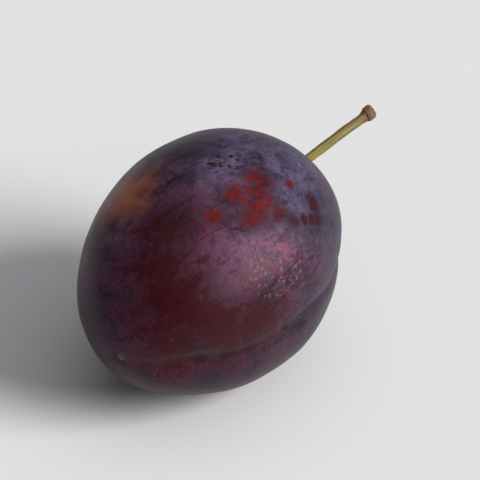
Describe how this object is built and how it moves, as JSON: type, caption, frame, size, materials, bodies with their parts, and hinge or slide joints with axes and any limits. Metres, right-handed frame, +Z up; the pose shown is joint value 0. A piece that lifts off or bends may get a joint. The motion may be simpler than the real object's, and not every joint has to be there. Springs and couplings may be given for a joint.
{
  "type": "plum",
  "caption": "Ripe oval prune plum as picked, with its stem, lying on its cheek on a small flat spot.",
  "frame": {"origin": "middle of the small flat spot on the lower cheek that the fruit rests on", "axes": "+Z up; +X from the blossom end to the stem end; the suture is on the -Y side, a little below the middle"},
  "size_m": [0.0716, 0.0383, 0.0368],
  "materials": {
    "skin": "dark purple to wine-red skin under a bluish-grey waxy bloom, satin where the bloom is thick and softly glossy where it is rubbed",
    "stem": "matte yellow-green stalk that turns orange-brown towards its woody end"
  },
  "bodies": {
    "root": {"fruit": "skin", "stem": "stem"}
  },
  "joints": []
}
